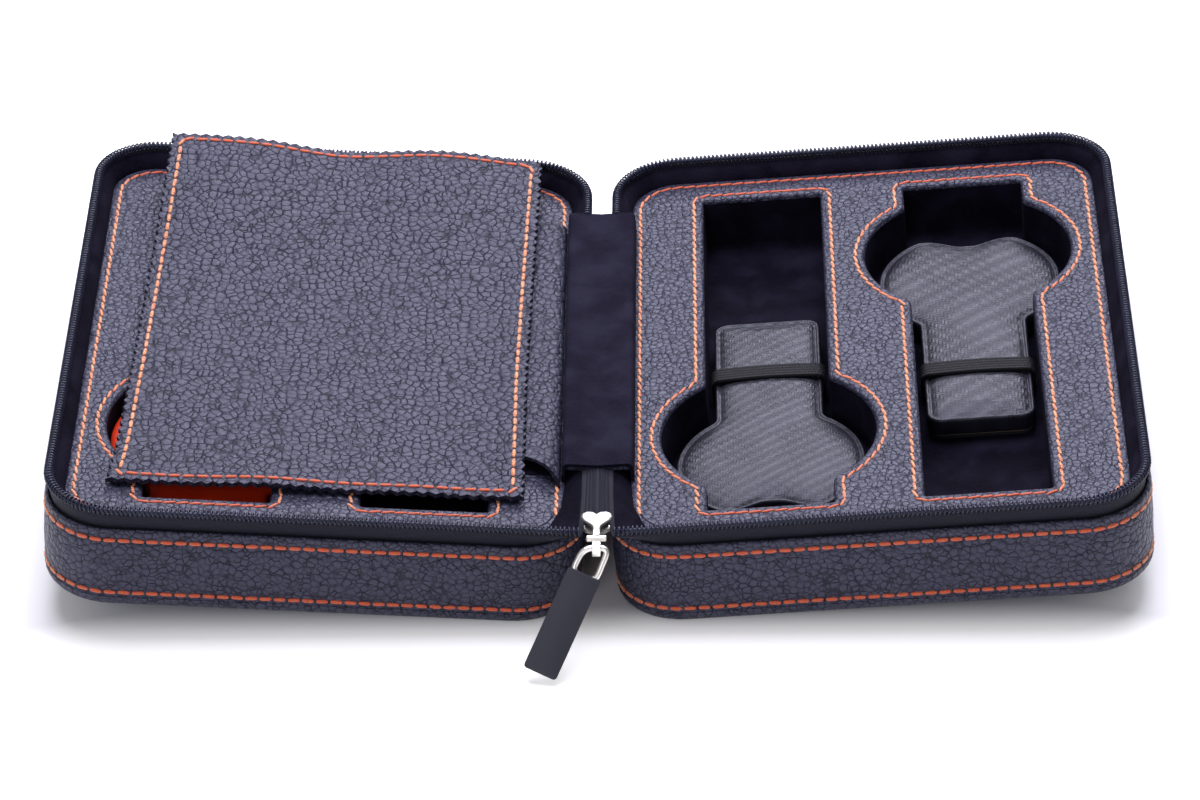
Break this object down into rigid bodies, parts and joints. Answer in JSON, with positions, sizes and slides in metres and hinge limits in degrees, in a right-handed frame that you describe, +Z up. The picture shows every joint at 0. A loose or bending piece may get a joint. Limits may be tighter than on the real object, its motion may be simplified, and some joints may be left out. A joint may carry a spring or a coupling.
{
  "type": "watch travel case",
  "caption": "Zip-round leather travel case lying open: two padded halves on a soft spine, keyhole pockets with lift-out watch holders, and a protective inner flap.",
  "frame": {"origin": "middle of the open case's length and depth, pull included, on the surface it stands on", "axes": "+X across both halves towards the right one, +Y from the front (slider side) to the back, +Z up"},
  "size_m": [0.299, 0.216, 0.0417],
  "materials": {
    "grained_leather": "pebbled, satin",
    "deck_leather": "fine grain, satin",
    "suede": "napped, matt",
    "board": "raw fibre board",
    "foam": "matt foam",
    "woven_look_leather": "embossed twill, glossy",
    "orange_leather": "smooth, satin",
    "elastic": "ribbed",
    "zip_fabric": "woven",
    "zip_nylon": "satin",
    "bright_metal": "polished",
    "tab_rubber": "matt"
  },
  "bodies": {
    "left_half": {"left_base_cover": "grained_leather", "left_base_board": "board", "left_wall_cover": "grained_leather", "left_wall_frame": "board", "left_zip_tape": "zip_fabric", "left_zip_coil": "zip_nylon", "left_rim_lining": "suede", "left_tray_foam": "foam", "left_pocket_lining": "suede", "left_deck": "deck_leather", "left_spine_leather": "grained_leather", "left_spine_suede": "suede", "left_holder_inner": "woven_look_leather", "left_holder_inner_back": "woven_look_leather", "left_band_inner": "elastic", "left_holder_outer": "orange_leather", "left_holder_outer_back": "woven_look_leather", "left_band_outer": "elastic", "zip_chain_end": "zip_nylon"},
    "right_half": {"right_base_cover": "grained_leather", "right_base_board": "board", "right_wall_cover": "grained_leather", "right_wall_frame": "board", "right_zip_tape": "zip_fabric", "right_zip_coil": "zip_nylon", "right_rim_lining": "suede", "right_tray_foam": "foam", "right_pocket_lining": "suede", "right_deck": "deck_leather", "right_spine_leather": "grained_leather", "right_spine_suede": "suede"},
    "flap": {"flap_panel": "grained_leather", "flap_suede_lining": "suede", "flap_hinge": "grained_leather"},
    "right_inner_holder": {"right_holder_inner": "woven_look_leather", "right_holder_inner_back": "woven_look_leather", "right_band_inner": "elastic"},
    "right_outer_holder": {"right_holder_outer": "woven_look_leather", "right_holder_outer_back": "woven_look_leather", "right_band_outer": "elastic"},
    "slider": {"zip_slider": "bright_metal"},
    "pull": {"pull_loop": "bright_metal", "pull_tab": "tab_rubber"}
  },
  "joints": [
    {"name": "case_fold", "type": "hinge", "parent": "left_half", "child": "right_half", "pos_m": [0, 0.014, 0.03183], "axis": [0, -1, 0], "range_deg": [0, 172.2]},
    {"name": "flap_swing", "type": "hinge", "parent": "left_half", "child": "flap", "pos_m": [-0.01435, 0.014, 0.0272], "axis": [0, -1, 0], "range_deg": [-110, 0]},
    {"name": "right_inner_holder_lift", "type": "slide", "parent": "right_half", "child": "right_inner_holder", "axis": [0.068, 0, -0.9977], "range_m": [-0.04, 0]},
    {"name": "right_outer_holder_lift", "type": "slide", "parent": "right_half", "child": "right_outer_holder", "axis": [0.068, 0, -0.9977], "range_m": [-0.04, 0]},
    {"name": "slider_slide", "type": "slide", "parent": "left_half", "child": "slider", "axis": [0, 1, 0], "range_m": [0, 0.004]},
    {"name": "pull_swing", "type": "hinge", "parent": "slider", "child": "pull", "pos_m": [0, -0.085, 0.02993], "axis": [-1, 0, 0], "range_deg": [0, 120]}
  ]
}
